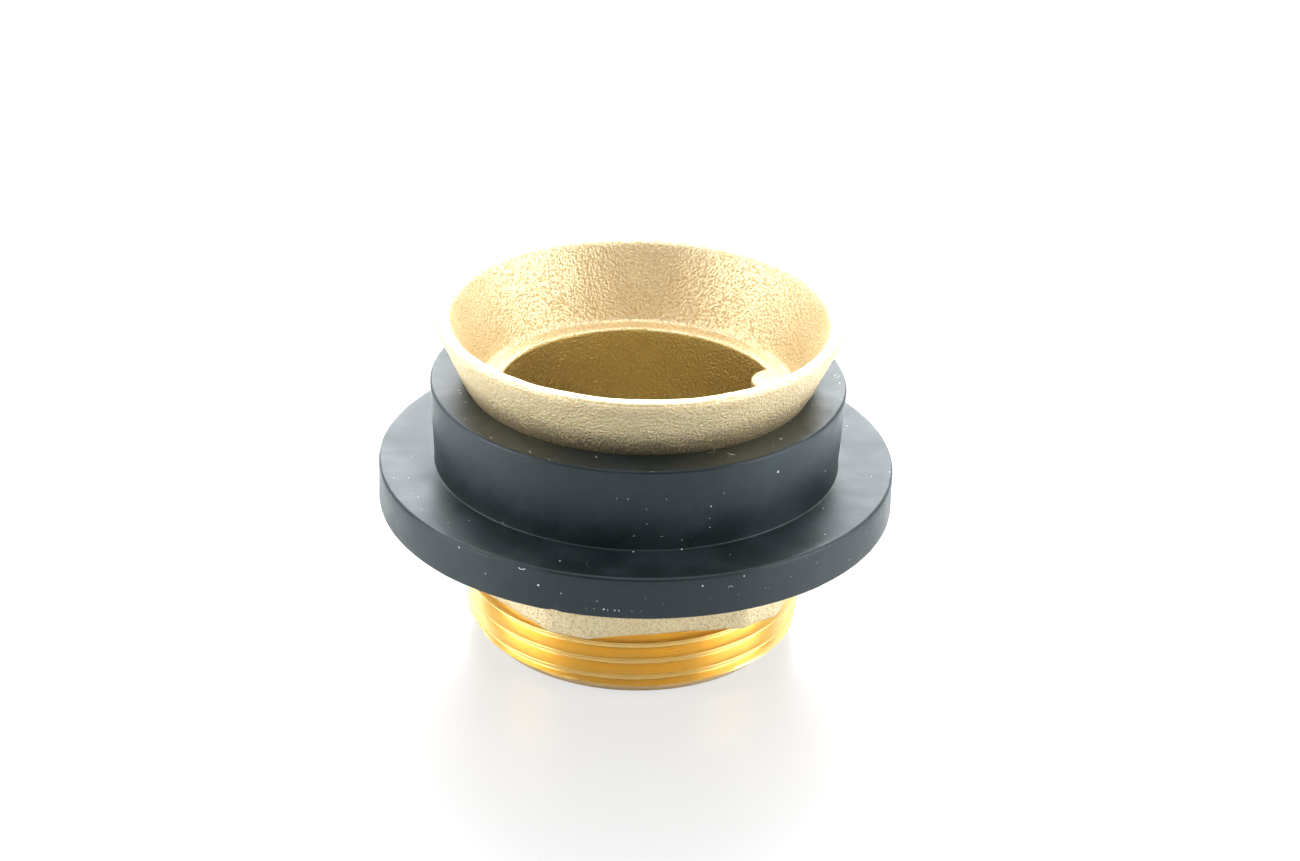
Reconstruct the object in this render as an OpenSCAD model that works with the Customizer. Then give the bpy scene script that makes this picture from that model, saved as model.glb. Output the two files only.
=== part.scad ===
// Toilet spud: the flared brass coupling that carries a flush pipe into a china inlet.
// A stepped rubber washer sits under the flare, and a hexagonal locknut on the tail's
// thread pulls the flare into it. Millimetres, +Z up along the waterway, with the
// origin at the centre of the tail's end.

/* [Brass body] */
// Height from the tail's end to the rim
body_h = 41.6; // [38:0.1:46]
// Wall of the tail, from the bore to the thread's crests
tail_wall = 3.83; // [3.2:0.01:4.4]
// Depth of the cast shank's surface below the thread's crests
shank_relief = 0.23; // [0.05:0.01:0.5]
// Width of the ledge round the bore
ledge_w = 2.4; // [2:0.1:2.8]
// Depth of the cup from the rim to the ledge
cup_depth = 9.6; // [8:0.1:11]
// Height above the ledge at which the steep wedge meets the flare's cone
wedge_h = 2.3; // [1.8:0.1:3]
// How far the wedge grows out from the shank
wedge_out = 1.15; // [0.8:0.05:1.5]
// Lean of the wedge's face from the axis
wedge_lean = 30; // [20:1:40]
// How far the flare's cone grows out from the wedge to the rim
flare_out = 3.3; // [2.8:0.05:4]
// Width of the rim's wall
rim_wall = 1.85; // [1.5:0.05:2.5]
// Rounding of the rim's two edges
rim_round = 0.5; // [0.2:0.05:0.7]
// Rounding in the corner between ledge and cup
ledge_fillet = 0.5; // [0.2:0.05:1]
// Rounding of the ledge's edge at the bore
bore_round = 0.4; // [0.2:0.05:0.8]

/* [Wrench lugs] */
// Width of each lug
lug_w = 6.4; // [4:0.1:9]
// How far a lug stands into the bore
lug_out = 2.8; // [1.5:0.1:3.5]
// Thickness of a lug
lug_t = 5; // [2:0.1:8]
// Depth of a lug's top below the ledge
lug_sink = 0.1; // [0.05:0.05:0.3]
// Direction of the first lug about the axis
lug_angle = 10.9; // [-90:0.1:90]

/* [Tail thread] */
// Major diameter of the thread, nominal 1-1/4 inch pipe
thread_d = 41.66; // [41.66:0.01:42.2]
// Distance from one crest to the next
thread_pitch = 2.209; // [1.8:0.001:2.4]
// Lean of the thread's flanks
thread_flank = 30; // [27.5:0.5:30]
// How far the thread runs up into the washer
thread_over = 1; // [0.5:0.1:2]
// Size of the lead chamfer at the tail's end
lead_chamfer = 2.08; // [1.5:0.01:2.6]
// Chamfer at the mouth of the bore
mouth_chamfer = 0.5; // [0.2:0.05:0.8]

/* [Rubber washer] */
// Wall of the hub that fills the china's hole, from the thread's crests
hub_wall = 4.37; // [3.5:0.01:5.2]
// Height of the hub above the flange
hub_h = 10.6; // [9:0.1:12]
// How far the top of the wedge stands out of the hub
wedge_show = 1; // [0.4:0.1:1.4]
// How far the flange stands out from the hub
flange_out = 6.55; // [4.5:0.05:9]
// Thickness of the flange
flange_t = 5.3; // [4:0.1:6.5]
// Rounding of the washer's outer edges
rubber_round = 0.5; // [0.2:0.05:1]
// Fillet where the hub meets the flange
hub_fillet = 0.6; // [0.2:0.05:1.2]
// Gap that lets the washer slip over the thread and up to the wedge
slip_gap = 0.05; // [0.02:0.01:0.2]

/* [Friction ring] */
// How far the washer's flange reaches past the friction ring
ring_inset = 3.75; // [2.25:0.05:5]
// Thickness of the friction ring
ring_t = 1.5; // [1:0.1:2]
// Radial play of the friction ring over the thread
ring_play = 0.1; // [0.05:0.01:0.4]

/* [Locknut] */
// Thinnest wall of the nut, from the thread's crests to a flat
nut_wall = 1.17; // [1:0.01:4]
// How far the nut's blunt corners reach past its flats
nut_blunt = 2.05; // [1.8:0.05:2.6]
// Height of the nut
nut_h = 6.2; // [5:0.1:7.5]
// Direction of one flat, from the front towards the right
nut_angle = 11.1; // [-30:0.1:30]
// Running clearance between the nut and the thread
nut_play = 0.05; // [0.02:0.01:0.1]
// Chamfer at both ends of the nut's bore
nut_chamfer = 0.4; // [0.2:0.05:0.6]
// Gap that keeps stacked faces apart
seat_gap = 0.05; // [0.02:0.01:0.2]

/* [Hidden] */
$fn = 96;
arc_steps = 4;
eps = 0.01;

brass_cast = [0.84, 0.74, 0.53];
brass_nut = [0.86, 0.72, 0.42];
rubber_black = [0.12, 0.14, 0.15];
ring_brass = [0.80, 0.63, 0.30];

thread_r = thread_d / 2;
bore_r = thread_r - tail_wall;
shank_r = thread_r - shank_relief;
wedge_r = shank_r + wedge_out;
rim_r = wedge_r + flare_out;
cup_r = rim_r - rim_wall;
ledge_r = bore_r + ledge_w;
tail_end_r = thread_r - lead_chamfer;

ledge_z = body_h - cup_depth;
wedge_z = ledge_z + wedge_h;
wedge_foot_z = wedge_z - wedge_out / tan(wedge_lean);
cup_lean = atan((cup_r - ledge_r) / cup_depth);
lug_root_r = (bore_r + ledge_r) / 2;
lug_z = ledge_z - lug_sink - lug_t;

hub_r = thread_r + hub_wall;
flange_r = hub_r + flange_out;
hub_top_z = wedge_z - wedge_show;
flange_top_z = hub_top_z - hub_h;
flange_z = flange_top_z - flange_t;
washer_bore_r = thread_r + slip_gap;
seat_foot_z = wedge_z - (wedge_r - thread_r) / tan(wedge_lean);
thread_end_z = flange_z + thread_over;

ring_r = flange_r - ring_inset;
ring_bore_r = thread_r + ring_play;
ring_z = flange_z - seat_gap - ring_t;
nut_flat_r = thread_r + nut_wall;
nut_corner_r = nut_flat_r + nut_blunt;
nut_bore_r = thread_r + nut_play;
nut_z = ring_z - seat_gap - nut_h;

root_depth = 0.6134 * thread_pitch;
root_half_w = 7 / 16 * thread_pitch;
root_half_flat = root_half_w - root_depth * tan(thread_flank);
root_z = nut_z - 0.35 * thread_pitch;

// Radius of the flare's outside at a height above the wedge's foot
function flare_r(z) =
    z < wedge_z
        ? wedge_r - (wedge_z - z) * tan(wedge_lean)
        : wedge_r + (z - wedge_z) * (rim_r - wedge_r) / (body_h - rim_round - wedge_z);

// Points of a round corner in the section plane, as [radius, height]
function arc(r0, z0, r, from, to) = [
    for (i = [0 : arc_steps])
        let (a = from + (to - from) * i / arc_steps)
            [r0 + r * cos(a), z0 + r * sin(a)]
];

// The casting in one turned outline: bore, ledge, cup, rim, flare, shank and tail
module body_section() {
    polygon(concat(
        [[bore_r, mouth_chamfer]],
        arc(bore_r + bore_round, ledge_z - bore_round, bore_round, 180, 90),
        arc(ledge_r - ledge_fillet, ledge_z + ledge_fillet, ledge_fillet, -90, -cup_lean),
        arc(cup_r + rim_round, body_h - rim_round, rim_round, 180 - cup_lean, 90),
        arc(rim_r - rim_round, body_h - rim_round, rim_round, 90, 0),
        [
            [wedge_r, wedge_z],
            [shank_r, wedge_foot_z],
            [shank_r, thread_end_z + shank_relief],
            [thread_r, thread_end_z],
            [thread_r, root_z + root_half_w],
            [thread_r - root_depth, root_z + root_half_flat],
            [thread_r - root_depth, root_z - root_half_flat],
            [thread_r, root_z - root_half_w],
            [thread_r, lead_chamfer],
            [tail_end_r, 0],
            [bore_r + mouth_chamfer, 0]
        ]
    ));
}

// A round-nosed tab just under the ledge, for the wrench that holds the body
module wrench_lug() {
    nose_r = lug_w / 2;
    intersection() {
        translate([bore_r - lug_out + nose_r, 0, lug_z])
            cylinder(r = nose_r, h = lug_t);
        translate([0, 0, lug_z])
            cylinder(r = lug_root_r, h = lug_t);
    }
}

module spud_body() {
    color(brass_cast) union() {
        rotate_extrude() body_section();
        for (side = [0, 180])
            rotate([0, 0, lug_angle + side]) wrench_lug();
    }
}

// Wide flange outside the china, hub inside its hole, and a seat for the flare on top
module rubber_washer() {
    seat_top_r = flare_r(hub_top_z) + slip_gap;
    color(rubber_black) rotate_extrude() polygon(concat(
        [
            [washer_bore_r, flange_z],
            [flange_r - rubber_round, flange_z]
        ],
        arc(flange_r - rubber_round, flange_z + rubber_round, rubber_round, -90, 0),
        arc(flange_r - rubber_round, flange_top_z - rubber_round, rubber_round, 0, 90),
        arc(hub_r + hub_fillet, flange_top_z + hub_fillet, hub_fillet, 270, 180),
        arc(hub_r - rubber_round, hub_top_z - rubber_round, rubber_round, 0, 90),
        [
            [seat_top_r, hub_top_z],
            [washer_bore_r, seat_foot_z]
        ]
    ));
}

// Thin ring that lets the nut turn without dragging the rubber round
module friction_ring() {
    color(ring_brass) translate([0, 0, ring_z]) difference() {
        cylinder(r = ring_r, h = ring_t);
        translate([0, 0, -eps])
            cylinder(r = ring_bore_r, h = ring_t + 2 * eps);
    }
}

// Cast hexagon with its corners turned blunt
module locknut() {
    color(brass_nut) translate([0, 0, nut_z]) difference() {
        intersection() {
            rotate([0, 0, nut_angle])
                cylinder(r = nut_flat_r / cos(180 / 6), h = nut_h, $fn = 6);
            cylinder(r = nut_corner_r, h = nut_h);
        }
        translate([0, 0, -eps])
            cylinder(r = nut_bore_r, h = nut_h + 2 * eps);
        translate([0, 0, -eps])
            cylinder(r1 = nut_bore_r + nut_chamfer + eps, r2 = nut_bore_r, h = nut_chamfer + eps);
        translate([0, 0, nut_h - nut_chamfer])
            cylinder(r1 = nut_bore_r, r2 = nut_bore_r + nut_chamfer + eps, h = nut_chamfer + eps);
    }
}

spud_body();
rubber_washer();
friction_ring();
locknut();
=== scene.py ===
"""Dresses the toilet spud: sand-cast and turned brass, moulded rubber, and a plain studio.

The outlines are drawn in millimetres, spun or extruded with bmesh operators, and put
into metres when a piece is finished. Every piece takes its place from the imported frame.
"""

import math
from types import SimpleNamespace

import bmesh
import bpy
from bpy.props import (
    FloatProperty,
    FloatVectorProperty,
    IntProperty,
    PointerProperty,
)
from mathutils import Matrix, Vector, noise


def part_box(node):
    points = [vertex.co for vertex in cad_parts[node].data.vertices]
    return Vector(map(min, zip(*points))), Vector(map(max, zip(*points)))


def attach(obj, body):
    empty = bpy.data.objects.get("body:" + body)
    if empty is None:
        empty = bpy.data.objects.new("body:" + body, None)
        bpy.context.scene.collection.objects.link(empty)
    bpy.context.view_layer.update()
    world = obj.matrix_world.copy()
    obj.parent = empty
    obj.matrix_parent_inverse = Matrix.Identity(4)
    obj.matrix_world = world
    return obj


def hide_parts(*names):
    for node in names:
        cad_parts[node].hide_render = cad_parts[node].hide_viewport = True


bl_info = {
    "name": "Toilet Spud",
    "version": (1, 0, 0),
    "blender": (4, 5, 0),
    "location": "View3D > Sidebar > Spud",
    "description": "Cast brass spud with a stepped rubber washer, friction ring and locknut",
    "category": "Object",
}

MM = 0.001
PHOTO_WIDTH = 1300
SENSOR = 36.0

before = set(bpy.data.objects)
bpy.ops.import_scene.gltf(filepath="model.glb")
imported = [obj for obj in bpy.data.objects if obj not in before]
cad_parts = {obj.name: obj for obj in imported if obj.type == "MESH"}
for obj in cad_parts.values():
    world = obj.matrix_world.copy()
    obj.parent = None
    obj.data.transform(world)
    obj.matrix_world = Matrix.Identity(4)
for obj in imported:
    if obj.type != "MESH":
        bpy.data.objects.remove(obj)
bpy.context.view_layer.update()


def node_size(node):
    """Diameter, foot height and top height of a CAD node, in millimetres."""
    low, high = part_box(node)
    return (high.x - low.x) / MM, low.z / MM, high.z / MM


RIM_D, BODY_FOOT, BODY_TOP = node_size("spud_body")
FLANGE_D, WASHER_FOOT, WASHER_TOP = node_size("rubber_washer")
RING_D, RING_FOOT, RING_TOP = node_size("friction_ring")
NUT_REACH, NUT_FOOT, NUT_TOP = node_size("locknut")


def length(name, millimetres, description):
    """A length property whose default is given in millimetres."""
    return FloatProperty(
        name=name,
        description=description,
        default=millimetres * MM,
        min=0.0,
        unit="LENGTH",
        precision=5,
    )


def angle(name, degrees, description):
    """An angle property whose default is given in degrees."""
    return FloatProperty(
        name=name,
        description=description,
        default=math.radians(degrees),
        unit="ROTATION",
    )


def colour(name, rgb, description):
    """A colour property."""
    return FloatVectorProperty(
        name=name,
        description=description,
        default=rgb,
        subtype="COLOR",
        min=0.0,
        max=1.0,
    )


def share(name, default, description, high=1.0):
    """A plain factor."""
    return FloatProperty(
        name=name, description=description, default=default, min=0.0, max=high
    )


class SpudBodySizes(bpy.types.PropertyGroup):
    """Sizes of the brass casting."""

    rim_d: length("Rim", RIM_D, "Outer diameter of the flared rim")
    rim_wall: length("Rim wall", 1.85, "Width of the rim")
    rim_soft: length("Rim rounding", 0.62, "How far each edge of the rim is rounded")
    cup_depth: length("Cup depth", 9.6, "Depth from the rim to the ledge")
    ledge_d: length("Ledge", 38.8, "Outer diameter of the ledge")
    ledge_soft: length("Ledge fillet", 0.45, "Fillet between ledge and cup")
    bore_d: length("Bore", 34.0, "Diameter of the waterway")
    bore_soft: length("Bore edge", 0.4, "Rounding of the ledge's edge at the bore")
    wedge_d: length("Wedge", 43.5, "Diameter where the wedge meets the flare")
    wedge_h: length("Wedge height", 2.3, "Height of the wedge's top above the ledge")
    wedge_foot_h: length("Wedge foot", 0.31, "Height of the wedge's foot over the ledge")
    shank_d: length("Shank", 41.2, "Diameter of the cast shank")
    mouth: length("Mouth chamfer", 0.5, "Chamfer at the tail's bore")
    cast_wave: length("Casting waves", 0.07, "Depth of the casting's slow unevenness")
    lug_w: length("Lug width", 6.4, "Width of a wrench lug")
    lug_out: length("Lug reach", 2.8, "How far a lug stands into the bore")
    lug_t: length("Lug thickness", 5.0, "Thickness of a lug")
    lug_soft: length("Lug rounding", 0.38, "Rounding of a lug's edges")
    lug_turn: angle("Lug direction", 10.9, "Direction of the first lug from +X")
    steps: IntProperty(
        name="Steps round", description="Faces round the body", default=240, min=48
    )


class ThreadSizes(bpy.types.PropertyGroup):
    """Sizes of the thread that the tail and the locknut share."""

    major_d: length("Major diameter", 41.66, "Diameter over the crests")
    pitch: length("Pitch", 2.209, "Distance from crest to crest")
    depth: length("Depth", 1.3, "Depth from crest to root")
    crest: length("Crest flat", 0.16, "Width of the flat on the crest")
    root: length("Root flat", 0.42, "Width of the flat in the root")
    soft: length("Edge rounding", 0.06, "Rounding of the crest's edges")
    top: length("Thread top", 18.4, "Height where the thread has run out")
    runout: length("Run-out", 0.9, "Height over which the thread runs out")
    end_d: length("Tail end", 37.5, "Diameter of the tail's end face")
    front_crest: length("Front crest", 7.72, "Height of a crest at the front")
    play: length("Nut play", 0.08, "Clearance of the nut's thread")
    nut_minor_d: length("Nut minor diameter", 39.7, "Diameter inside the nut's thread")
    steps: IntProperty(
        name="Steps a turn", description="Faces in one turn", default=160, min=32
    )


class WasherSizes(bpy.types.PropertyGroup):
    """Sizes of the stepped rubber washer."""

    flange_d: length("Flange", FLANGE_D, "Diameter of the flange")
    flange_top: length("Flange top", 22.7, "Height of the flange's upper face")
    hub_top_d: length("Hub at the top", 50.9, "Diameter of the hub at its top")
    hub_foot_d: length("Hub at the foot", 49.8, "Diameter of the hub at the flange")
    edge_soft: length("Edge rounding", 0.42, "Rounding of the moulded edges")
    fillet: length("Fillet", 0.2, "Fillet where the hub meets the flange")
    bore_d: length("Bore", 41.76, "Diameter of the washer's bore")
    seat_top_d: length("Seat top", 42.45, "Diameter of the seat at the hub's top")
    seat_foot: length("Seat foot", 32.71, "Height where the seat starts")
    flash: length("Flash", 0.09, "Height of the ragged flash on the flange's edge")
    steps: IntProperty(
        name="Steps round", description="Faces round the washer", default=320, min=48
    )


class NutSizes(bpy.types.PropertyGroup):
    """Sizes of the friction ring and the locknut."""

    ring_d: length("Ring", RING_D, "Outer diameter of the friction ring")
    ring_bore_d: length("Ring bore", 41.86, "Bore of the friction ring")
    ring_soft: length("Ring rounding", 0.3, "Rounding of the ring's edges")
    flats: length("Across flats", 44.0, "Width of the nut across its flats")
    blunt: length("Blunt corner", 3.0, "How much of each flat a blunt corner takes")
    cast_soft: length("Cast rounding", 0.45, "Rounding of the nut's cast edges")
    bore_chamfer: length("Bore chamfer", 0.45, "Chamfer at both ends of the bore")
    cast_wave: length("Casting waves", 0.16, "Depth of the nut's slow unevenness")
    turn: angle("Flat direction", 11.1, "Direction of one flat from the front")


class FinishColours(bpy.types.PropertyGroup):
    """Colours of the finishes."""

    cast: colour("Cast brass", (0.83, 0.695, 0.455), "Sand-cast brass")
    # The bore's colour is cast brass darkened by painted shade: the waterway's recess is
    # drawn darker than the cast skin outside.
    bore: colour("Cast bore", (0.56, 0.44, 0.17), "Duller cast skin in the waterway")
    cast_dark: colour("Cast hollows", (0.60, 0.44, 0.20), "Hollows of the cast grain")
    nut: colour("Cast nut", (0.75, 0.65, 0.44), "The nut's paler cast skin")
    turned: colour("Turned brass", (0.90, 0.56, 0.08), "Brass cut on the lathe")
    stamped: colour("Stamped brass", (0.80, 0.60, 0.28), "The friction ring")
    rubber: colour("Rubber", (0.006, 0.011, 0.013), "Black rubber")
    bloom: colour("Rubber bloom", (0.065, 0.09, 0.10), "Grey bloom on the rubber")
    dust: colour("Dust", (0.75, 0.76, 0.76), "Pale dust and lint")
    scuff: colour("Scuff", (0.32, 0.27, 0.18), "Tan rub mark on the flange's edge")
    floor: colour("Floor", (0.78, 0.81, 0.83), "Pale floor")
    seen_share: share("Shadow on the floor", 0.16, "How much of the floor's shading shows")


def in_mm(group):
    """The group's values, with its lengths in millimetres."""
    values = {}
    for name, prop in group.bl_rna.properties.items():
        if name in {"rna_type", "name"}:
            continue
        value = getattr(group, name)
        is_length = prop.type == "FLOAT" and prop.unit == "LENGTH"
        values[name] = value / MM if is_length else value
    return SimpleNamespace(**values)


def outline(bm, corners, closed=False, spacing=1.1):
    """Draws a turned outline in the XZ plane from corners of (radius, height, rounding).

    A rounding is measured along both edges from the corner. Long edges are cut up, so
    that the cast and moulded waves have vertices to move.
    """
    verts = [bm.verts.new((radius, 0.0, height)) for radius, height, _ in corners]
    pairs = list(zip(verts, verts[1:]))
    if closed:
        pairs.append((verts[-1], verts[0]))
    for pair in pairs:
        bm.edges.new(pair)
    for vert, (_, _, rounding) in zip(verts, corners):
        if rounding:
            bmesh.ops.bevel(
                bm,
                geom=[vert],
                offset=rounding,
                offset_type="OFFSET",
                affect="VERTICES",
                segments=5,
                profile=0.5,
                material=-1,
            )
    for edge in list(bm.edges):
        cuts = int(edge.calc_length() / spacing)
        if cuts:
            bmesh.ops.subdivide_edges(bm, edges=[edge], cuts=cuts)
    return bm.verts[:] + bm.edges[:]


def spin_round(bm, geom, steps):
    """Spins an outline all the way round the axis."""
    bmesh.ops.spin(
        bm,
        geom=geom,
        cent=(0, 0, 0),
        axis=(0, 0, 1),
        angle=math.tau,
        steps=steps,
        use_merge=True,
        use_duplicate=False,
    )


def reach(vert):
    """Distance of a vertex from the axis."""
    return math.hypot(vert.co.x, vert.co.y)


def set_reach(vert, radius):
    """Moves a vertex straight out from the axis to that radius."""
    scale = radius / max(reach(vert), 1e-6)
    vert.co.x *= scale
    vert.co.y *= scale


def level_ends(bm, low, high):
    """Merges what the cuts left close together, and brings the open ends to their level."""
    bmesh.ops.remove_doubles(bm, verts=bm.verts[:], dist=4e-3)
    for vert in bm.verts:
        if vert.is_boundary:
            vert.co.z = low if vert.co.z < (low + high) / 2 else high


def fill_level(bm, height, material_index):
    """Fills the flat ring between the two open loops at one height."""
    made = bmesh.ops.triangle_fill(
        bm, edges=border_loop(bm, height), use_beauty=True, normal=(0, 0, 1)
    )
    for part in made["geom"]:
        if isinstance(part, bmesh.types.BMFace):
            part.material_index = material_index


def border_loop(bm, height=None, tolerance=1e-3):
    """Open edges, at one height where it is given."""
    return [
        e
        for e in bm.edges
        if e.is_boundary
        and (
            height is None or all(abs(v.co.z - height) < tolerance for v in e.verts)
        )
    ]


def helix_skin(bm, t, crest_r, root_r, crest, root, low, high):
    """One start of the thread as an open skin, cut square at two heights.

    The profile of one pitch climbs as it spins, and its edges meet the turn above.
    """
    quarter = math.tau / 4
    start = t.front_crest + t.pitch * quarter / math.tau
    start -= t.pitch * math.ceil((start - low) / t.pitch + 1)
    turns = math.ceil((high - start) / t.pitch) + 1
    mid = t.pitch / 2
    corners = [
        (crest_r, start, 0),
        (crest_r, start + crest / 2, t.soft),
        (root_r, start + mid - root / 2, t.soft),
        (root_r, start + mid + root / 2, t.soft),
        (crest_r, start + t.pitch - crest / 2, t.soft),
        (crest_r, start + t.pitch, 0),
    ]
    geom = outline(bm, corners, spacing=0.33)
    bmesh.ops.spin(
        bm,
        geom=geom,
        cent=(0, 0, 0),
        axis=(0, 0, 1),
        dvec=(0, 0, t.pitch / t.steps),
        angle=math.tau,
        steps=t.steps,
        use_merge=False,
        use_duplicate=False,
    )
    one_turn = bm.verts[:] + bm.edges[:] + bm.faces[:]
    for turn in range(1, turns):
        copied = bmesh.ops.duplicate(bm, geom=one_turn)["geom"]
        bmesh.ops.translate(
            bm,
            vec=(0, 0, turn * t.pitch),
            verts=[g for g in copied if isinstance(g, bmesh.types.BMVert)],
        )
    bmesh.ops.remove_doubles(bm, verts=bm.verts[:], dist=1e-3)
    for height, side in ((low, -1), (high, 1)):
        bmesh.ops.bisect_plane(
            bm,
            geom=bm.verts[:] + bm.edges[:] + bm.faces[:],
            dist=1e-5,
            plane_co=(0, 0, height),
            plane_no=(0, 0, side),
            clear_outer=True,
        )
    bmesh.ops.remove_doubles(bm, verts=bm.verts[:], dist=2e-3)


def add_skin(bm, other):
    """Adds the faces of another bmesh, and frees it."""
    mesh = bpy.data.meshes.new("skin")
    other.to_mesh(mesh)
    other.free()
    bm.from_mesh(mesh)
    bpy.data.meshes.remove(mesh)


def wave(vert, normal, depth, size):
    """Moves a vertex along a direction by slow, fixed noise."""
    slow = noise.noise(vert.co / size)
    quick = noise.noise(vert.co / (size * 0.37) + Vector((7.0, 3.0, 5.0)))
    vert.co += normal * depth * (slow + 0.5 * quick)


def finish_piece(bm, name, body, node, materials, sharp=38.0):
    """Closes and scales a piece, and hands it to the frame."""
    bmesh.ops.remove_doubles(bm, verts=bm.verts[:], dist=5e-4)
    bmesh.ops.recalc_face_normals(bm, faces=bm.faces[:])
    bmesh.ops.scale(bm, vec=(MM, MM, MM), verts=bm.verts[:])
    open_edges = sum(1 for e in bm.edges if not e.is_manifold)
    if open_edges:
        raise RuntimeError(f"{name} has {open_edges} open edges")
    mesh = bpy.data.meshes.new(name)
    bm.to_mesh(mesh)
    bm.free()
    mesh.shade_smooth()
    mesh.set_sharp_from_angle(angle=math.radians(sharp))
    for material in materials:
        mesh.materials.append(material)
    piece = bpy.data.objects.new(name, mesh)
    bpy.context.scene.collection.objects.link(piece)
    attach(piece, body)
    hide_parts(node)
    return piece


def new_group(name, inputs, outputs):
    """An empty shader node group with named number, colour and vector sockets."""
    group = bpy.data.node_groups.new(name, "ShaderNodeTree")
    for socket, kind, default in inputs:
        made = group.interface.new_socket(socket, in_out="INPUT", socket_type=kind)
        if default is not None:
            made.default_value = default
    for socket, kind in outputs:
        group.interface.new_socket(socket, in_out="OUTPUT", socket_type=kind)
    return group


class Net:
    """Short calls that place and wire the nodes of one tree."""

    def __init__(self, tree):
        self.tree = tree

    def node(self, kind, links=None, **settings):
        """A node with its settings, and its inputs linked or set."""
        made = self.tree.nodes.new(kind)
        for key, value in settings.items():
            setattr(made, key, value)
        for socket, value in (links or {}).items():
            self.put(made.inputs[socket], value)
        return made

    def put(self, socket, value):
        """Links a socket to another, or sets its value."""
        if isinstance(value, bpy.types.NodeSocket):
            self.tree.links.new(value, socket)
        else:
            socket.default_value = value

    def math(self, operation, first, second=0.0, third=0.0, clamp=False):
        """One Math node."""
        made = self.node("ShaderNodeMath", operation=operation, use_clamp=clamp)
        for socket, value in zip(made.inputs, (first, second, third)):
            self.put(socket, value)
        return made.outputs[0]

    def ramp(self, value, low, high, to_low=0.0, to_high=1.0):
        """Values from low to high mapped smoothly onto another range."""
        made = self.node(
            "ShaderNodeMapRange", interpolation_type="SMOOTHSTEP", clamp=True
        )
        numbers = (value, low, high, to_low, to_high)
        for socket, number in zip(made.inputs, numbers):
            self.put(socket, number)
        return made.outputs[0]

    def mix(self, factor, first, second):
        """A colour mixed from two."""
        made = self.node("ShaderNodeMix", data_type="RGBA")
        self.put(made.inputs["Factor"], factor)
        self.put(made.inputs["A"], first)
        self.put(made.inputs["B"], second)
        return made.outputs["Result"]

    def scaled(self, vector, scale):
        """A vector times a number."""
        made = self.node("ShaderNodeVectorMath", operation="SCALE")
        self.put(made.inputs[0], vector)
        self.put(made.inputs["Scale"], scale)
        return made.outputs[0]

    def noise(self, vector, detail=2.0, roughness=0.5, distortion=0.0):
        """Noise of unit size, as a factor."""
        made = self.node(
            "ShaderNodeTexNoise",
            {
                "Vector": vector,
                "Scale": 1.0,
                "Detail": detail,
                "Roughness": roughness,
                "Distortion": distortion,
            },
            noise_dimensions="3D",
        )
        return made.outputs[0]

    def bump(self, height, distance, strength=1.0, normal=None):
        """A bump from a height, with its depth in metres."""
        made = self.node("ShaderNodeBump")
        self.put(made.inputs["Height"], height)
        self.put(made.inputs["Distance"], distance)
        self.put(made.inputs["Strength"], strength)
        if normal is not None:
            self.put(made.inputs["Normal"], normal)
        return made.outputs[0]


def cast_grain_group():
    """Sand-cast skin: fine lumps, deeper pits, and slow changes of tone."""
    group = new_group(
        "Cast Grain",
        [
            ("Vector", "NodeSocketVector", None),
            ("Grain Size", "NodeSocketFloat", 0.0004),
        ],
        [
            ("Height", "NodeSocketFloat"),
            ("Hollow", "NodeSocketFloat"),
            ("Tone", "NodeSocketFloat"),
        ],
    )
    net = Net(group)
    given = net.node("NodeGroupInput").outputs
    per_grain = net.math("DIVIDE", 1.0, given["Grain Size"])
    at = net.scaled(given["Vector"], per_grain)
    lumps = net.noise(at, detail=1.5, roughness=0.55)
    cells = net.node(
        "ShaderNodeTexVoronoi",
        {"Vector": net.scaled(at, 0.8), "Scale": 1.0, "Smoothness": 0.55},
        feature="SMOOTH_F1",
    ).outputs["Distance"]
    height = net.math("MULTIPLY_ADD", cells, -0.45, lumps)
    hollow = net.ramp(height, 0.34, 0.08)
    tone = net.noise(net.scaled(at, 0.06), detail=3.0, roughness=0.6)
    out = net.node("NodeGroupOutput")
    net.put(out.inputs["Height"], height)
    net.put(out.inputs["Hollow"], hollow)
    net.put(out.inputs["Tone"], net.ramp(tone, 0.3, 0.7))
    return group


def turning_marks_group():
    """Fine rings that a lathe tool leaves: they change with radius and height alone."""
    group = new_group(
        "Turning Marks",
        [
            ("Vector", "NodeSocketVector", None),
            ("Ring Width", "NodeSocketFloat", 0.00005),
        ],
        [("Height", "NodeSocketFloat"), ("Tone", "NodeSocketFloat")],
    )
    net = Net(group)
    given = net.node("NodeGroupInput").outputs
    xyz = net.node("ShaderNodeSeparateXYZ", {"Vector": given["Vector"]}).outputs
    square = net.math("MULTIPLY", xyz["X"], xyz["X"])
    square = net.math("MULTIPLY_ADD", xyz["Y"], xyz["Y"], square)
    radius = net.math("SQRT", square)
    flat = net.node("ShaderNodeCombineXYZ", {"X": radius, "Y": xyz["Z"]}).outputs[0]
    per_ring = net.math("DIVIDE", 1.0, given["Ring Width"])
    marks = net.noise(net.scaled(flat, per_ring), detail=2.0, roughness=0.7)
    turned = net.node("ShaderNodeCombineXYZ", {"X": xyz["X"], "Y": xyz["Y"]})
    drift = net.noise(net.scaled(turned.outputs[0], 160.0), detail=2.0)
    broad = net.noise(net.scaled(flat, net.math("MULTIPLY", per_ring, 0.12)))
    out = net.node("NodeGroupOutput")
    net.put(out.inputs["Height"], net.math("MULTIPLY_ADD", broad, 1.6, marks))
    net.put(out.inputs["Tone"], net.math("MULTIPLY", drift, broad))
    return group


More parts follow.
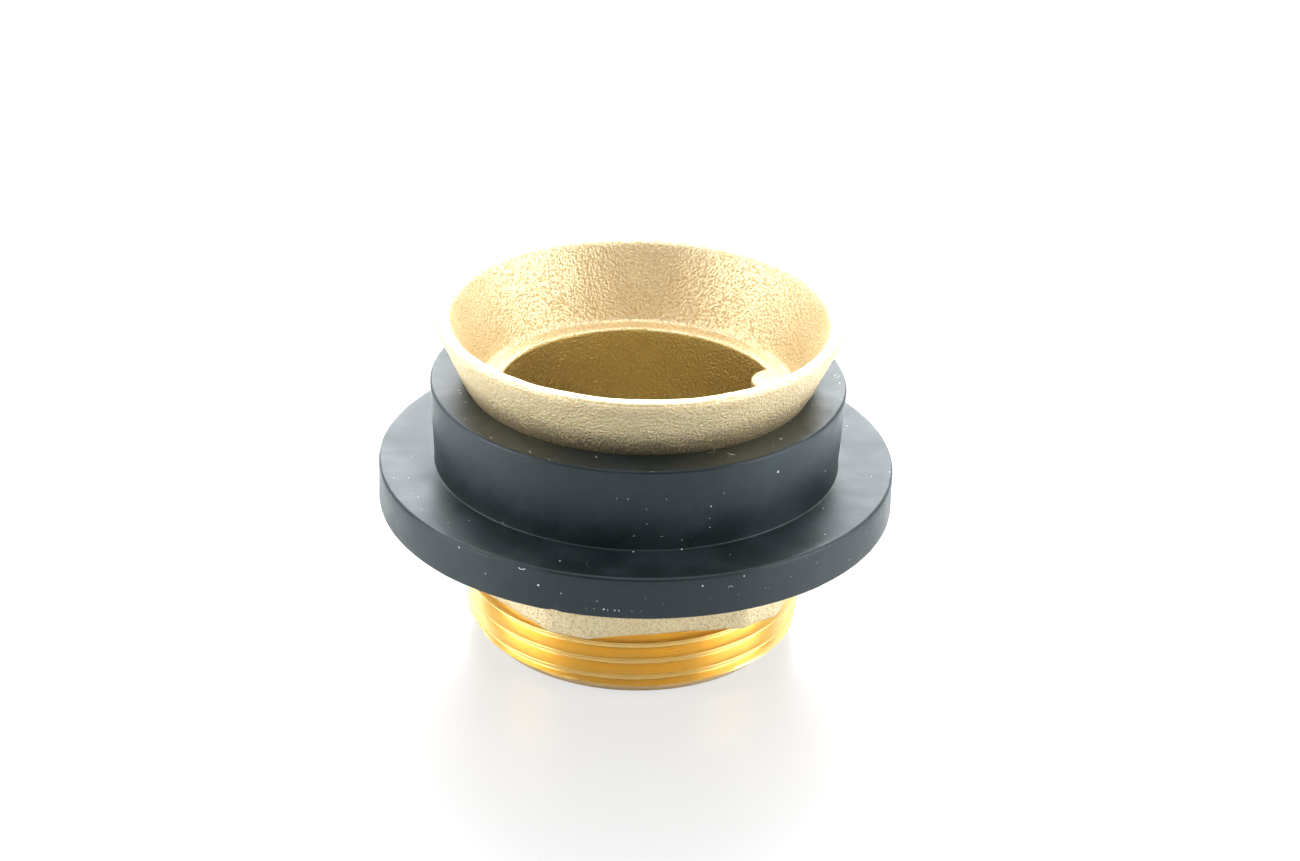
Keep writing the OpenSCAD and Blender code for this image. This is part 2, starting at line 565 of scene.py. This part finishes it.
def dust_group():
    """Pale specks and short fibres, sparse and of mixed size."""
    group = new_group(
        "Dust",
        [
            ("Vector", "NodeSocketVector", None),
            ("Spacing", "NodeSocketFloat", 0.0016),
            ("Amount", "NodeSocketFloat", 0.5),
        ],
        [("Specks", "NodeSocketFloat"), ("Fibres", "NodeSocketFloat")],
    )
    net = Net(group)
    given = net.node("NodeGroupInput").outputs
    per_space = net.math("DIVIDE", 1.0, given["Spacing"])
    at = net.scaled(given["Vector"], per_space)
    masks = []
    for spread, radius, keep in ((1.0, 0.085, 0.62), (2.6, 0.13, 0.8)):
        cell = net.node(
            "ShaderNodeTexVoronoi", {"Vector": net.scaled(at, spread), "Scale": 1.0}
        ).outputs
        parts = net.node("ShaderNodeSeparateColor", {"Color": cell["Color"]}).outputs
        size = net.math("MULTIPLY", net.math("POWER", parts[0], 2.0), radius)
        dot = net.math("LESS_THAN", cell["Distance"], size)
        kept = net.math("GREATER_THAN", parts[1], keep)
        masks.append(net.math("MULTIPLY", dot, kept))
    specks = net.math("MAXIMUM", masks[0], masks[1])
    bent = net.noise(net.scaled(at, 0.5), detail=1.0)
    swirl = net.node("ShaderNodeVectorRotate", rotation_type="Z_AXIS")
    net.put(swirl.inputs["Vector"], at)
    net.put(swirl.inputs["Angle"], net.math("MULTIPLY", bent, 1.6))
    long = net.node("ShaderNodeMapping", vector_type="POINT")
    net.put(long.inputs["Vector"], swirl.outputs[0])
    long.inputs["Scale"].default_value = (0.42, 3.4, 1.7)
    strand = net.node(
        "ShaderNodeTexVoronoi", {"Vector": long.outputs[0], "Scale": 1.0}
    ).outputs
    parts = net.node("ShaderNodeSeparateColor", {"Color": strand["Color"]}).outputs
    thin = net.math("LESS_THAN", strand["Distance"], 0.11)
    rare = net.math("GREATER_THAN", parts[2], 0.93)
    out = net.node("NodeGroupOutput")
    net.put(out.inputs["Specks"], net.math("MULTIPLY", specks, given["Amount"]))
    fibres = net.math("MULTIPLY", net.math("MULTIPLY", thin, rare), given["Amount"])
    net.put(out.inputs["Fibres"], fibres)
    return group


def shared_group(name):
    """The named effect, built the first time that it is asked for."""
    makers = {
        "Cast Grain": cast_grain_group,
        "Turning Marks": turning_marks_group,
        "Dust": dust_group,
    }
    return bpy.data.node_groups.get(name) or makers[name]()


def new_material(name):
    """A material with its Principled shader, its net, and the object's coordinates."""
    material = bpy.data.materials.new(name)
    material.use_nodes = True
    net = Net(material.node_tree)
    shader = material.node_tree.nodes["Principled BSDF"]
    at = net.node("ShaderNodeTexCoord").outputs["Object"]
    return material, net, shader, at


def rgba(values):
    """A colour with full alpha."""
    return (*values, 1.0)


def grain(net, at, size):
    """Places the cast grain in a material."""
    made = net.node("ShaderNodeGroup", node_tree=shared_group("Cast Grain"))
    net.put(made.inputs["Vector"], at)
    net.put(made.inputs["Grain Size"], size)
    return made.outputs


def cast_brass(name, pale, dark, size, depth, rough):
    """Sand-cast brass with dull hollows between bright lumps."""
    material, net, shader, at = new_material(name)
    skin = grain(net, at, size)
    toned = net.mix(net.math("MULTIPLY", skin["Hollow"], 0.55), rgba(pale), rgba(dark))
    slow = net.math("MULTIPLY", skin["Tone"], 0.18)
    net.put(shader.inputs["Base Color"], net.mix(slow, toned, rgba(dark)))
    shader.inputs["Metallic"].default_value = 1.0
    net.put(
        shader.inputs["Roughness"],
        net.math("MULTIPLY_ADD", skin["Hollow"], 0.22, rough),
    )
    net.put(shader.inputs["Normal"], net.bump(skin["Height"], depth))
    return material


def turned_brass(c):
    """Brass cut on the lathe, with fine rings."""
    material, net, shader, at = new_material("turned_brass")
    made = net.node("ShaderNodeGroup", node_tree=shared_group("Turning Marks"))
    net.put(made.inputs["Vector"], at)
    made.inputs["Ring Width"].default_value = 0.00006
    tone = net.ramp(made.outputs["Tone"], 0.1, 0.45, 0.0, 0.25)
    net.put(
        shader.inputs["Base Color"], net.mix(tone, rgba(c.turned), rgba(c.cast_dark))
    )
    shader.inputs["Metallic"].default_value = 1.0
    net.put(shader.inputs["Roughness"], net.math("MULTIPLY_ADD", tone, 0.3, 0.27))
    net.put(shader.inputs["Normal"], net.bump(made.outputs["Height"], 0.000012))
    shader.inputs["Coat Weight"].default_value = 1.0
    shader.inputs["Coat IOR"].default_value = 2.1
    shader.inputs["Coat Roughness"].default_value = 0.25
    return material


def stamped_brass(c):
    """The friction ring's smooth sheet brass, lightly scratched."""
    material, net, shader, at = new_material("stamped_brass")
    scratch = net.node("ShaderNodeMapping", {"Vector": at})
    scratch.inputs["Scale"].default_value = (9000.0, 700.0, 2000.0)
    lines = net.noise(scratch.outputs[0], detail=3.0, roughness=0.7)
    stain = net.noise(net.scaled(at, 220.0), detail=4.0, roughness=0.6)
    tone = net.ramp(stain, 0.4, 0.75, 0.0, 0.35)
    net.put(
        shader.inputs["Base Color"], net.mix(tone, rgba(c.stamped), rgba(c.cast_dark))
    )
    shader.inputs["Metallic"].default_value = 1.0
    net.put(shader.inputs["Roughness"], net.ramp(lines, 0.3, 0.8, 0.26, 0.48))
    net.put(shader.inputs["Normal"], net.bump(lines, 0.000006))
    return material


def black_rubber(c):
    """Moulded rubber: semi-matt, faintly bloomed, with specks of dust and lint."""
    material, net, shader, at = new_material("black_rubber")
    skin = net.noise(net.scaled(at, 2600.0), detail=3.0, roughness=0.6)
    cloud = net.noise(net.scaled(at, 130.0), detail=4.0, roughness=0.6)
    bloom = net.math("MULTIPLY", net.ramp(cloud, 0.42, 0.72), 0.16)
    base = net.mix(bloom, rgba(c.rubber), rgba(c.bloom))
    made = net.node("ShaderNodeGroup", node_tree=shared_group("Dust"))
    net.put(made.inputs["Vector"], at)
    made.inputs["Spacing"].default_value = 0.0021
    made.inputs["Amount"].default_value = 0.8
    lint = net.math("MAXIMUM", made.outputs["Specks"], made.outputs["Fibres"])
    net.put(shader.inputs["Base Color"], net.mix(lint, base, rgba(c.dust)))
    net.put(
        shader.inputs["Roughness"],
        net.math("MULTIPLY_ADD", net.ramp(cloud, 0.3, 0.7), 0.12, 0.36),
    )
    shader.inputs["Specular IOR Level"].default_value = 0.46
    shader.inputs["Specular Tint"].default_value = (0.82, 0.93, 1.0, 1.0)
    net.put(shader.inputs["Normal"], net.bump(skin, 0.000022))
    return material


class SPUD_OT_body(bpy.types.Operator):
    """Spins the cast body, cuts its thread and sets its two wrench lugs"""

    bl_idname = "spud.body"
    bl_label = "Brass Body"

    def execute(self, context):
        s = in_mm(context.scene.spud_body)
        t = in_mm(context.scene.spud_thread)
        c = in_mm(context.scene.spud_colours)
        top = BODY_TOP
        ledge_z = top - s.cup_depth
        bore_r = s.bore_d / 2
        shank_r = s.shank_d / 2
        bm = bmesh.new()
        corners = [
            (bore_r + s.mouth, 0, 0),
            (bore_r, s.mouth, 0),
            (bore_r, ledge_z, s.bore_soft),
            (s.ledge_d / 2, ledge_z, s.ledge_soft),
            (s.rim_d / 2 - s.rim_wall, top, s.rim_soft),
            (s.rim_d / 2, top, s.rim_soft),
            (s.wedge_d / 2, ledge_z + s.wedge_h, 0.5),
            (shank_r, ledge_z + s.wedge_foot_h, 0),
            (shank_r, t.top, 0),
        ]
        spin_round(bm, outline(bm, corners), s.steps)
        bm.normal_update()
        bmesh.ops.recalc_face_normals(bm, faces=bm.faces[:])
        for vert in bm.verts:
            if vert.co.z > s.mouth + 0.1 and not vert.is_boundary:
                under = reach(vert) > shank_r - 0.1 and vert.co.z < WASHER_TOP + 0.4
                if not under:
                    wave(vert, vert.normal, s.cast_wave, 3.4)
        for face in bm.faces:
            middle = face.calc_center_median()
            if middle.z < s.mouth:
                face.material_index = 1
            elif math.hypot(middle.x, middle.y) < bore_r + 0.1:
                face.material_index = 2

        skin = bmesh.new()
        crest_r = t.major_d / 2
        helix_skin(skin, t, crest_r, crest_r - t.depth, t.crest, t.root, 0.0, t.top)
        for vert in skin.verts:
            limit = t.end_d / 2 + vert.co.z
            if reach(vert) > limit:
                set_reach(vert, limit)
            fade = (vert.co.z - t.top) / t.runout + 1.0
            if fade > 0:
                set_reach(vert, reach(vert) * (1 - fade) + (shank_r - 0.3) * fade)
        level_ends(skin, 0.0, t.top)
        for face in skin.faces:
            face.material_index = 1
        add_skin(bm, skin)
        fill_level(bm, 0.0, 1)
        fill_level(bm, t.top, 0)

        for side in (0.0, math.pi):
            self.add_lug(bm, s, ledge_z, bore_r, s.lug_turn + side)
        finish_piece(
            bm,
            "brass_body",
            "spud",
            "spud_body",
            [
                cast_brass("cast_brass", c.cast, c.cast_dark, 0.0003, 0.00011, 0.46),
                turned_brass(c),
                # The bore's material carries painted shade: its colour is darker than the
                # cast brass, standing in for the shade inside the waterway.
                cast_brass("cast_bore_painted_shade", c.bore, c.cast_dark, 0.00028, 0.00013, 0.42),
            ],
        )
        return {"FINISHED"}

    @staticmethod
    def add_lug(bm, s, ledge_z, bore_r, turn):
        """A round-nosed tab level with the ledge, rooted in the bore's wall."""
        lug = bmesh.new()
        nose_r = s.lug_w / 2
        made = bmesh.ops.create_circle(
            lug, cap_ends=True, radius=nose_r, segments=64
        )
        bmesh.ops.translate(
            lug,
            vec=(bore_r - s.lug_out + nose_r, 0, ledge_z - 0.01),
            verts=made["verts"],
        )
        down = bmesh.ops.extrude_face_region(lug, geom=lug.faces[:])["geom"]
        bmesh.ops.translate(
            lug,
            vec=(0, 0, -s.lug_t),
            verts=[g for g in down if isinstance(g, bmesh.types.BMVert)],
        )
        rims = [e for e in lug.edges if abs(e.verts[0].co.z - e.verts[1].co.z) < 1e-6]
        bmesh.ops.bevel(
            lug,
            geom=rims,
            offset=s.lug_soft,
            offset_type="OFFSET",
            affect="EDGES",
            segments=4,
            profile=0.5,
            material=-1,
        )
        bmesh.ops.bisect_plane(
            lug,
            geom=lug.verts[:] + lug.edges[:] + lug.faces[:],
            dist=1e-5,
            plane_co=(bore_r + 1.3, 0, 0),
            plane_no=(1, 0, 0),
            clear_outer=True,
        )
        bmesh.ops.holes_fill(lug, edges=border_loop(lug), sides=0)
        bmesh.ops.rotate(
            lug,
            cent=(0, 0, 0),
            matrix=Matrix.Rotation(turn, 3, "Z"),
            verts=lug.verts[:],
        )
        bmesh.ops.recalc_face_normals(lug, faces=lug.faces[:])
        add_skin(bm, lug)


class SPUD_OT_washer(bpy.types.Operator):
    """Spins the stepped rubber washer and roughens its moulded edges"""

    bl_idname = "spud.washer"
    bl_label = "Rubber Washer"

    def execute(self, context):
        w = in_mm(context.scene.spud_washer)
        c = in_mm(context.scene.spud_colours)
        flange_r = w.flange_d / 2
        foot = WASHER_FOOT
        top = WASHER_TOP
        bm = bmesh.new()
        corners = [
            (w.bore_d / 2, foot, 0),
            (flange_r, foot, w.edge_soft * 0.6),
            (flange_r, w.flange_top, w.edge_soft),
            (w.hub_foot_d / 2, w.flange_top, w.fillet),
            (w.hub_top_d / 2, top, w.edge_soft),
            (w.seat_top_d / 2, top, 0),
            (w.bore_d / 2, w.seat_foot, 0),
        ]
        spin_round(bm, outline(bm, corners, closed=True), w.steps)
        bmesh.ops.recalc_face_normals(bm, faces=bm.faces[:])
        bm.normal_update()
        for vert in bm.verts:
            radius = reach(vert)
            if vert.co.z < foot + 0.05 or radius < w.seat_top_d / 2 + 0.3:
                continue
            wave(vert, vert.normal, 0.05, 6.0)
            to_edge = math.hypot(radius - flange_r, vert.co.z - w.flange_top)
            if to_edge < 0.6:
                ragged = noise.noise(vert.co / 0.9) + 0.35
                vert.co.z += w.flash * max(ragged, 0.0) * (1.0 - to_edge / 0.6)
        self.nick(bm, flange_r, foot, math.radians(-90 - 16.7))
        finish_piece(
            bm,
            "black_washer",
            "spud",
            "rubber_washer",
            [black_rubber(c)],
        )
        return {"FINISHED"}

    @staticmethod
    def nick(bm, flange_r, foot, turn):
        """A small cut in the flange's lower edge."""
        place = Vector((flange_r * math.cos(turn), flange_r * math.sin(turn), foot))
        for vert in bm.verts:
            near = (vert.co - place).length
            if near < 0.9:
                set_reach(vert, reach(vert) - 0.35 * (1.0 - near / 0.9))


class SPUD_OT_ring(bpy.types.Operator):
    """Spins the thin friction ring between washer and nut"""

    bl_idname = "spud.ring"
    bl_label = "Friction Ring"

    def execute(self, context):
        n = in_mm(context.scene.spud_nut)
        c = in_mm(context.scene.spud_colours)
        bm = bmesh.new()
        corners = [
            (n.ring_bore_d / 2, RING_FOOT, n.ring_soft * 0.5),
            (n.ring_d / 2, RING_FOOT, n.ring_soft),
            (n.ring_d / 2, RING_TOP, n.ring_soft),
            (n.ring_bore_d / 2, RING_TOP, n.ring_soft * 0.5),
        ]
        spin_round(bm, outline(bm, corners, closed=True), 200)
        finish_piece(
            bm,
            "stamped_ring",
            "ring",
            "friction_ring",
            [stamped_brass(c)],
        )
        return {"FINISHED"}


class SPUD_OT_nut(bpy.types.Operator):
    """Makes the cast hexagonal locknut with its blunt corners and inner thread"""

    bl_idname = "spud.nut"
    bl_label = "Locknut"

    def execute(self, context):
        n = in_mm(context.scene.spud_nut)
        t = in_mm(context.scene.spud_thread)
        c = in_mm(context.scene.spud_colours)
        foot, top = NUT_FOOT, NUT_TOP
        flat_r = n.flats / 2
        bm = bmesh.new()
        bmesh.ops.create_circle(
            bm, cap_ends=True, radius=flat_r / math.cos(math.pi / 6), segments=6
        )
        bmesh.ops.rotate(
            bm,
            cent=(0, 0, 0),
            matrix=Matrix.Rotation(self.first_corner(bm, n.turn), 3, "Z"),
            verts=bm.verts[:],
        )
        bmesh.ops.translate(bm, vec=(0, 0, foot), verts=bm.verts[:])
        up = bmesh.ops.extrude_face_region(bm, geom=bm.faces[:])["geom"]
        bmesh.ops.translate(
            bm,
            vec=(0, 0, top - foot),
            verts=[g for g in up if isinstance(g, bmesh.types.BMVert)],
        )
        self.soften(bm, self.uprights(bm), n.blunt, 1)
        self.soften(bm, self.uprights(bm), n.cast_soft * 1.4, 3)
        self.soften(bm, self.rims(bm), n.cast_soft, 4)
        caps = [f for f in bm.faces if abs(f.normal.z) > 0.9 and len(f.verts) > 8]
        bmesh.ops.delete(bm, geom=caps, context="FACES_ONLY")
        for across in (1.0, 0.0):
            long = [
                e
                for e in bm.edges
                if e.calc_length() > 2
                and (abs(e.verts[0].co.z - e.verts[1].co.z) < 1e-3) == bool(across)
            ]
            bmesh.ops.subdivide_edges(bm, edges=long, cuts=9, use_grid_fill=True)
        bm.normal_update()
        for vert in bm.verts:
            if not vert.is_boundary:
                wave(vert, vert.normal, n.cast_wave, 2.6)

        skin = bmesh.new()
        groove_r = t.major_d / 2 + t.play
        helix_skin(
            skin,
            t,
            groove_r,
            t.nut_minor_d / 2,
            t.crest + 2 * t.play,
            t.root,
            foot,
            top,
        )
        for vert in skin.verts:
            to_end = min(vert.co.z - foot, top - vert.co.z)
            limit = groove_r + n.bore_chamfer - to_end
            if reach(vert) < limit:
                set_reach(vert, limit)
        level_ends(skin, foot, top)
        for face in skin.faces:
            face.material_index = 1
        add_skin(bm, skin)
        fill_level(bm, foot, 0)
        fill_level(bm, top, 0)
        finish_piece(
            bm,
            "cast_nut",
            "nut",
            "locknut",
            [
                cast_brass("cast_nut", c.nut, c.cast_dark, 0.00024, 0.00010, 0.5),
                turned_brass(c),
            ],
        )
        return {"FINISHED"}

    @staticmethod
    def first_corner(bm, turn):
        """Turn that brings a flat to its direction from the front."""
        corner = next(iter(bm.verts)).co
        now = math.atan2(corner.y, corner.x)
        return turn - math.pi / 2 + math.pi / 6 - now

    @staticmethod
    def uprights(bm):
        """Vertical edges between two walls that meet at an angle."""
        return [
            e
            for e in bm.edges
            if abs(e.verts[0].co.z - e.verts[1].co.z) > 0.5
            and e.calc_face_angle(0.0) > 0.1
        ]

    @staticmethod
    def rims(bm):
        """Edges between the walls and the end faces."""
        return [
            e
            for e in bm.edges
            if abs(e.verts[0].co.z - e.verts[1].co.z) < 1e-4
            and e.calc_face_angle(0.0) > 1.0
        ]

    @staticmethod
    def soften(bm, edges, offset, segments):
        """Bevels edges of the casting."""
        bmesh.ops.bevel(
            bm,
            geom=edges,
            offset=offset,
            offset_type="OFFSET",
            affect="EDGES",
            segments=segments,
            profile=0.5,
            material=-1,
        )
        bm.normal_update()


class SPUD_OT_stage(bpy.types.Operator):
    """Sets the pale floor, the soft lights, the white surroundings and the camera"""

    bl_idname = "spud.stage"
    bl_label = "Studio"

    def execute(self, context):
        c = in_mm(context.scene.spud_colours)
        scene = context.scene
        scene.view_settings.view_transform = "Standard"
        self.floor(scene, c)
        self.world(scene)
        for name, place, size, power, tint in (
            ("left_softbox", (-0.42, -0.10, 0.16), (0.34, 0.40), 2.1, (1.0, 1.0, 1.0)),
            ("right_softbox", (0.42, -0.10, 0.16), (0.34, 0.40), 2.3, (1.0, 1.0, 1.0)),
            ("left_back", (-0.40, 0.35, 0.25), (0.40, 0.40), 0.9, (0.97, 0.985, 1.0)),
            ("right_back", (0.40, 0.35, 0.25), (0.40, 0.40), 0.8, (0.97, 0.985, 1.0)),
            ("backdrop_low", (0.0, 0.60, 0.22), (0.7, 0.3), 5.2, (0.96, 0.985, 1.0)),
            ("backdrop_high", (0.0, 0.45, 0.55), (0.7, 0.3), 5.4, (0.97, 0.99, 1.0)),
            ("top_softbox", (0.0, 0.0, 0.65), (0.5, 0.5), 2.2, (1.0, 1.0, 1.0)),
            ("front_top", (0.0, -0.42, 0.50), (0.5, 0.3), 0.6, (1.0, 1.0, 1.0)),
        ):
            self.softbox(scene, name, place, size, power, tint)
        self.camera(scene)
        return {"FINISHED"}

    @staticmethod
    def softbox(scene, name, place, size, power, tint):
        """A square soft light that looks at the object."""
        light = bpy.data.lights.new(name, "AREA")
        light.shape = "RECTANGLE"
        light.size, light.size_y = size
        light.energy = power
        light.color = tint
        lamp = bpy.data.objects.new(name, light)
        lamp.location = place
        aim = Vector((0, 0, 0.02)) - Vector(place)
        lamp.rotation_euler = aim.to_track_quat("-Z", "Y").to_euler()
        scene.collection.objects.link(lamp)

    @staticmethod
    def floor(scene, c):
        """A wide pale floor that keeps the shadow and reads white to the camera, with a
        painted pool of shade round the object, where its glow is dimmer.
        """
        bm = bmesh.new()
        bmesh.ops.create_grid(bm, x_segments=1, y_segments=1, size=6.0)
        bmesh.ops.translate(bm, vec=(0, 0, -0.0001), verts=bm.verts[:])
        mesh = bpy.data.meshes.new("studio_floor")
        bm.to_mesh(mesh)
        bm.free()
        plane = bpy.data.objects.new("studio_floor", mesh)
        scene.collection.objects.link(plane)
        material, net, shader, at = new_material("pale_floor")
        seen = net.node("ShaderNodeLightPath").outputs
        dim = [channel * c.seen_share for channel in c.floor]
        base = net.mix(seen["Is Camera Ray"], rgba(c.floor), rgba(dim))
        net.put(shader.inputs["Base Color"], base)
        shader.inputs["Roughness"].default_value = 0.3
        glow = net.node("ShaderNodeEmission")
        far = net.node("ShaderNodeVectorMath", operation="LENGTH")
        net.put(far.inputs[0], at)
        # Painted shadow: the floor's glow to the camera falls from 0.8 far out to 0.68 near
        # the object, drawing a soft pool of shade under it.
        painted_shadow_glow = net.ramp(far.outputs["Value"], 0.03, 0.12, 0.68, 0.8)
        net.put(glow.inputs["Strength"], net.math("MULTIPLY", seen["Is Camera Ray"], painted_shadow_glow))
        both = net.node("ShaderNodeAddShader")
        net.put(both.inputs[0], shader.outputs[0])
        net.put(both.inputs[1], glow.outputs[0])
        output = material.node_tree.nodes["Material Output"]
        net.put(output.inputs["Surface"], both.outputs[0])
        mesh.materials.append(material)

    @staticmethod
    def world(scene):
        """White to the camera, softer towards the front for what lights the metal."""
        world = bpy.data.worlds.new("white_studio")
        scene.world = world
        world.use_nodes = True
        net = Net(world.node_tree)
        back = world.node_tree.nodes["Background"]
        way = net.node("ShaderNodeTexCoord").outputs["Generated"]
        xyz = net.node("ShaderNodeSeparateXYZ", {"Vector": way}).outputs
        round_it = net.ramp(xyz["Y"], -0.9, 0.1, 0.35, 1.0)
        seen = net.node("ShaderNodeLightPath").outputs
        lit = net.math("MULTIPLY", round_it, 0.05)
        strength = net.node("ShaderNodeMix", data_type="FLOAT")
        net.put(strength.inputs["Factor"], seen["Is Camera Ray"])
        net.put(strength.inputs["A"], lit)
        net.put(strength.inputs["B"], 1.0)
        back.inputs["Color"].default_value = (1.0, 1.0, 1.0, 1.0)
        net.put(back.inputs["Strength"], strength.outputs[0])

    @staticmethod
    def camera(scene):
        """The photograph's camera, fitted to the round edges of the real spud."""
        far, high = 0.38214, math.radians(29.807)
        place = Vector((0, -far * math.cos(high), far * math.sin(high)))
        ahead = -place.normalized()
        right = ahead.cross(Vector((0, 0, 1))).normalized()
        up = right.cross(ahead)
        pan = Matrix.Rotation(math.radians(-0.2473), 3, up)
        ahead, right = pan @ ahead, pan @ right
        tilt = Matrix.Rotation(math.radians(3.5003), 3, right)
        ahead, up = tilt @ ahead, tilt @ up
        roll = Matrix.Rotation(math.radians(-1.6395), 3, ahead)
        right, up = roll @ right, roll @ up
        lens = bpy.data.cameras.new("photo_camera")
        lens.sensor_width = SENSOR
        lens.lens = 3000 * SENSOR / PHOTO_WIDTH
        lens.clip_start, lens.clip_end = 0.01, 50.0
        eye = bpy.data.objects.new("photo_camera", lens)
        axes = Matrix((right, up, -ahead)).transposed().to_4x4()
        eye.matrix_world = Matrix.Translation(place) @ axes
        scene.collection.objects.link(eye)
        scene.camera = eye


class SPUD_PT_sidebar(bpy.types.Panel):
    """Lists the spud's pieces and their sizes"""

    bl_idname = "SPUD_PT_sidebar"
    bl_label = "Toilet Spud"
    bl_space_type = "VIEW_3D"
    bl_region_type = "UI"
    bl_category = "Spud"

    def draw(self, context):
        layout = self.layout
        for operator in PIECES:
            layout.operator(operator.bl_idname)
        for name in SETTINGS:
            group = getattr(context.scene, name)
            box = layout.box()
            box.label(text=group.bl_rna.name)
            for key in group.bl_rna.properties.keys():
                if key not in {"rna_type", "name"}:
                    box.prop(group, key)


PIECES = (SPUD_OT_body, SPUD_OT_washer, SPUD_OT_ring, SPUD_OT_nut, SPUD_OT_stage)
SETTINGS = {
    "spud_body": SpudBodySizes,
    "spud_thread": ThreadSizes,
    "spud_washer": WasherSizes,
    "spud_nut": NutSizes,
    "spud_colours": FinishColours,
}


def register():
    """Registers the settings, the operators and the panel."""
    for name, group in SETTINGS.items():
        bpy.utils.register_class(group)
        setattr(bpy.types.Scene, name, PointerProperty(type=group))
    for operator in PIECES:
        bpy.utils.register_class(operator)
    bpy.utils.register_class(SPUD_PT_sidebar)


def unregister():
    """Takes them away again, in the opposite order."""
    bpy.utils.unregister_class(SPUD_PT_sidebar)
    for operator in reversed(PIECES):
        bpy.utils.unregister_class(operator)
    for name, group in reversed(SETTINGS.items()):
        delattr(bpy.types.Scene, name)
        bpy.utils.unregister_class(group)


def main():
    """Builds every piece and the studio."""
    register()
    bpy.ops.spud.body()
    bpy.ops.spud.washer()
    bpy.ops.spud.ring()
    bpy.ops.spud.nut()
    bpy.ops.spud.stage()
    bpy.context.view_layer.update()


if __name__ == "__main__":
    main()
